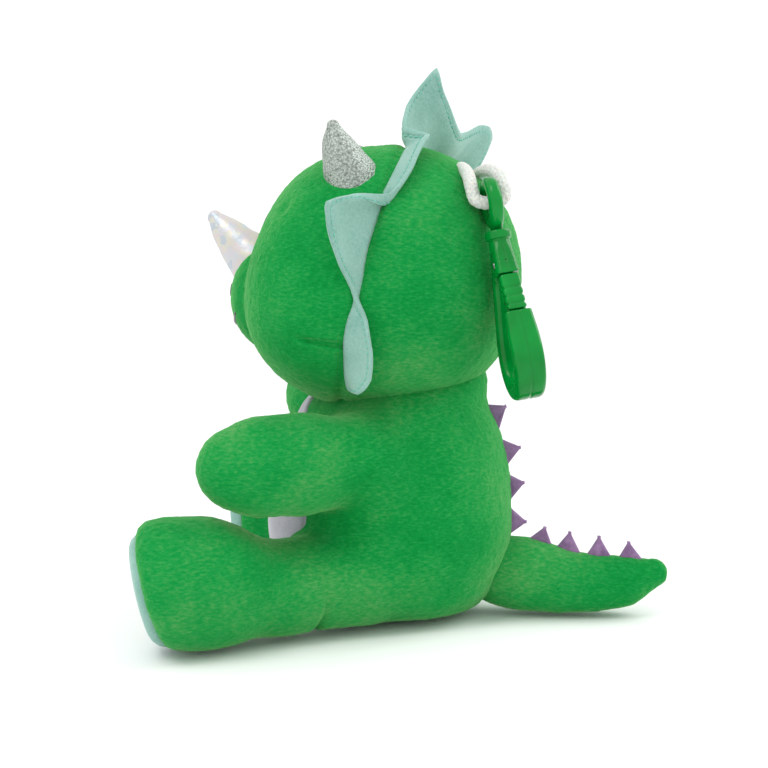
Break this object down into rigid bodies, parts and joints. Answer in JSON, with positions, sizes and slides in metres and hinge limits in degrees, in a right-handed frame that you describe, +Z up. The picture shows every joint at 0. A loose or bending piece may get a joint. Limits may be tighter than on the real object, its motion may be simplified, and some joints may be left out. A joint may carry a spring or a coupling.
{
  "type": "plush keychain",
  "caption": "Seated stuffed-animal bag charm with soft bending limbs, a sewn cord loop and a swivelling snap hook that clips onto a ring or strap.",
  "frame": {"origin": "centre of the toy's footprint on the surface it sits on", "axes": "+Z up, the toy faces -Y, its left side is +X"},
  "size_m": [0.0952, 0.1019, 0.1162],
  "materials": {
    "plush": "short velvety green pile",
    "silver_satin": "silver woven satin",
    "mint_tricot": "smooth brushed mint tricot",
    "purple_felt": "matte purple felt",
    "silver_glitter": "silver metallic knit",
    "silver_foil": "iridescent silver foil fabric",
    "polyester_fill": "polyester fibre",
    "pellets": "small plastic pellets",
    "dark_thread": "satin-stitched embroidery",
    "white_cord": "soft braided white cord",
    "green_plastic": "glossy moulded green plastic",
    "steel_pin": "plain steel"
  },
  "bodies": {
    "torso": {"torso_left_panel": "plush", "torso_right_panel": "plush", "belly_panel": "silver_satin", "torso_stuffing": "polyester_fill", "neck_stuffing": "polyester_fill", "pellet_fill": "pellets", "back_spikes": "purple_felt"},
    "head": {"face_left_panel": "plush", "face_right_panel": "plush", "nape_left_panel": "plush", "nape_right_panel": "plush", "head_stuffing": "polyester_fill", "snout_cover": "plush", "snout_stuffing": "polyester_fill", "eye_left": "dark_thread", "eye_right": "dark_thread", "nostril_left": "dark_thread", "nostril_right": "dark_thread", "mouth_stitch": "dark_thread", "brow_horn_left": "silver_glitter", "brow_horn_right": "silver_glitter", "nose_horn": "silver_foil", "frill": "mint_tricot", "hang_loop": "white_cord"},
    "arm_left": {"arm_left_cover": "plush", "arm_left_stuffing": "polyester_fill"},
    "arm_right": {"arm_right_cover": "plush", "arm_right_stuffing": "polyester_fill"},
    "leg_left": {"leg_left_cover": "plush", "leg_left_stuffing": "polyester_fill", "foot_left_pad": "mint_tricot"},
    "leg_right": {"leg_right_cover": "plush", "leg_right_stuffing": "polyester_fill", "foot_right_pad": "mint_tricot"},
    "tail": {"tail_cover": "plush", "tail_stuffing": "polyester_fill", "tail_spikes": "purple_felt"},
    "clip_eye": {"swivel_eye": "green_plastic"},
    "clip_hook": {"hook_body": "green_plastic", "gate_pin": "steel_pin"},
    "clip_gate": {"gate_lever": "green_plastic"}
  },
  "joints": [
    {"name": "head_nod", "type": "hinge", "parent": "torso", "child": "head", "pos_m": [0, -0.0045, 0.0445], "axis": [1, 0, 0], "range_deg": [-8, 8], "stiffness_Nm_per_rad": 0.4},
    {"name": "arm_left_bend", "type": "hinge", "parent": "torso", "child": "arm_left", "pos_m": [0.0225, -0.0105, 0.0352], "axis": [-1, 0, 0], "range_deg": [-3, 20], "stiffness_Nm_per_rad": 0.02},
    {"name": "arm_right_bend", "type": "hinge", "parent": "torso", "child": "arm_right", "pos_m": [-0.0225, -0.0105, 0.036], "axis": [-1, 0, 0], "range_deg": [-15, 20], "stiffness_Nm_per_rad": 0.02},
    {"name": "leg_left_bend", "type": "hinge", "parent": "torso", "child": "leg_left", "pos_m": [0.0185, -0.0135, 0.0119], "axis": [-1, 0, 0], "range_deg": [-6, 2], "stiffness_Nm_per_rad": 0.06},
    {"name": "leg_right_bend", "type": "hinge", "parent": "torso", "child": "leg_right", "pos_m": [-0.0185, -0.013, 0.0119], "axis": [-1, 0, 0], "range_deg": [-6, 12], "stiffness_Nm_per_rad": 0.06},
    {"name": "tail_bend", "type": "hinge", "parent": "torso", "child": "tail", "pos_m": [0, 0.02, 0.0096], "axis": [0, 0, 1], "range_deg": [-12, 12], "stiffness_Nm_per_rad": 0.01},
    {"name": "clip_swing", "type": "hinge", "parent": "head", "child": "clip_eye", "pos_m": [0.0215, 0.0155, 0.0886], "axis": [0.9693, 0.1788, 0.169], "range_deg": [0, 95]},
    {"name": "clip_swivel", "type": "hinge", "parent": "clip_eye", "child": "clip_hook", "pos_m": [0.02286, 0.01742, 0.07878], "axis": [-0.1344, -0.1905, 0.9724], "continuous": true},
    {"name": "gate_open", "type": "hinge", "parent": "clip_hook", "child": "clip_gate", "pos_m": [0.02438, 0.01868, 0.07317], "axis": [-0.206, 0.9653, 0.1606], "range_deg": [0, 25], "stiffness_Nm_per_rad": 0.002}
  ]
}
